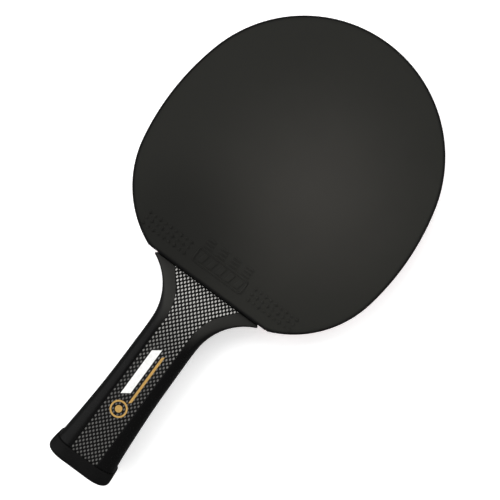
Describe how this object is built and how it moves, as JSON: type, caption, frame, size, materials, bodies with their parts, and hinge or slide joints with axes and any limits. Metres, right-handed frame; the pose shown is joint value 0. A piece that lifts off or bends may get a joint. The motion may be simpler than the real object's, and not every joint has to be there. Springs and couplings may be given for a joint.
{
  "type": "table tennis paddle",
  "caption": "Table tennis paddle: laminated blade with pimples-in rubber on both faces, edge tape, glossy moulded handle with carbon-look inlays and a soft butt cap.",
  "frame": {"origin": "middle of the bottom of the bounding box: under the middle of the paddle as it lies on its back face, level with the back of the butt cap", "axes": "+Y along the handle towards the tip of the blade, +Z out of the black front face, +X across the blade"},
  "size_m": [0.151, 0.2724, 0.0256],
  "materials": {
    "light_wood": "pale long-grained wood",
    "cross_wood": "pale wood, grain across",
    "carbon_cloth": "carbon cloth in resin",
    "dyed_veneer": "veneer dyed black",
    "adhesive": "dried glue",
    "sponge": "fine open sponge, black",
    "black_rubber": "smooth satin rubber, black",
    "red_rubber": "smooth satin rubber, red",
    "edge_tape": "fine woven tape, black",
    "filler_wood": "light filler wood",
    "gloss_shell": "black gloss, satin in the neck",
    "carbon_weave": "grey and black weave under clear resin",
    "soft_cap": "matte soft-touch black",
    "white_foil": "white foil",
    "gold_foil": "gold foil"
  },
  "bodies": {
    "root": {"core_ply": "light_wood", "front_inner_ply": "cross_wood", "back_inner_ply": "cross_wood", "front_carbon_ply": "carbon_cloth", "back_carbon_ply": "carbon_cloth", "front_outer_ply": "dyed_veneer", "back_outer_ply": "dyed_veneer", "front_adhesive_sheet": "adhesive", "back_adhesive_sheet": "adhesive", "front_sponge": "sponge", "back_sponge": "sponge", "front_topsheet": "black_rubber", "back_topsheet": "red_rubber", "edge_tape": "edge_tape", "front_handle_core": "filler_wood", "back_handle_core": "filler_wood", "front_handle_shell": "gloss_shell", "back_handle_shell": "gloss_shell", "front_weave_inlay": "carbon_weave", "back_weave_inlay": "carbon_weave", "butt_cap": "soft_cap", "badge_white_bar": "white_foil", "badge_gold_stripe": "gold_foil", "badge_gold_roundel": "gold_foil"}
  },
  "joints": []
}
